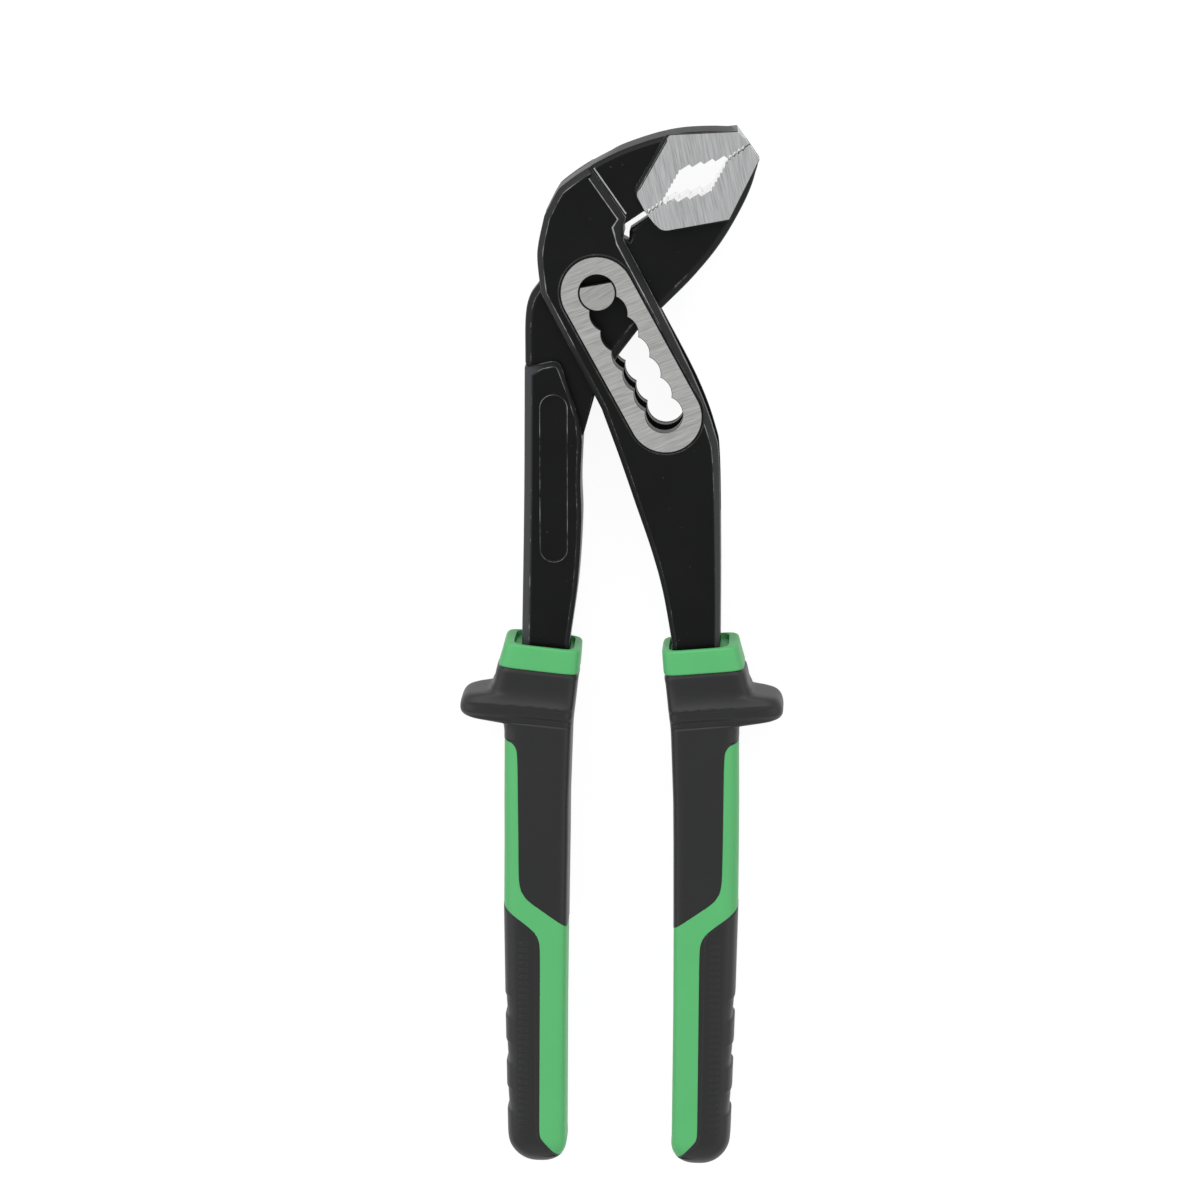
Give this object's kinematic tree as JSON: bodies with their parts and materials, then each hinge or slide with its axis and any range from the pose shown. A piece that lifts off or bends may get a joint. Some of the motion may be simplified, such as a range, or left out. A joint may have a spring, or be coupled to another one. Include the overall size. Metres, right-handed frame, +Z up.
{
  "type": "water pump pliers",
  "caption": "Adjustable box-joint water pump pliers with toothed angled jaws, a notched pivot slot and two-colour grips with thumb guards, for gripping pipes and nuts.",
  "frame": {"origin": "centre of the footprint, on the surface the tool lies on, with the tool closed at its first notch", "axes": "+Y along the tool towards the jaws, +X to the right as the tool is seen from its front, +Z up out of the front face"},
  "size_m": [0.0902, 0.3016, 0.0197],
  "materials": {
    "black_steel": "blackened forged steel, semi-gloss, with ground bright faces on the jaws and round the slot",
    "ground_steel": "ground bright",
    "green_plastic": "moulded, satin",
    "black_rubber": "soft grip, finely textured"
  },
  "bodies": {
    "slotted_lever": {"slotted_lever": "black_steel", "right_grip_core": "green_plastic", "right_guard_sleeve": "black_rubber", "right_palm_pad": "black_rubber"},
    "pivot_pin": {"pivot_pin": "ground_steel"},
    "inner_lever": {"inner_lever": "black_steel", "front_pin_head": "ground_steel", "rear_pin_head": "ground_steel", "left_grip_core": "green_plastic", "left_guard_sleeve": "black_rubber", "left_palm_pad": "black_rubber"}
  },
  "joints": [
    {"name": "notch_slide", "type": "slide", "parent": "slotted_lever", "child": "pivot_pin", "axis": [0.4787, -0.878, 0], "range_m": [0, 0.0387]},
    {"name": "lever_hinge", "type": "hinge", "parent": "pivot_pin", "child": "inner_lever", "pos_m": [-0.0065, 0.10573, 0.00986], "axis": [0, 0, -1], "range_deg": [0, 72]}
  ]
}
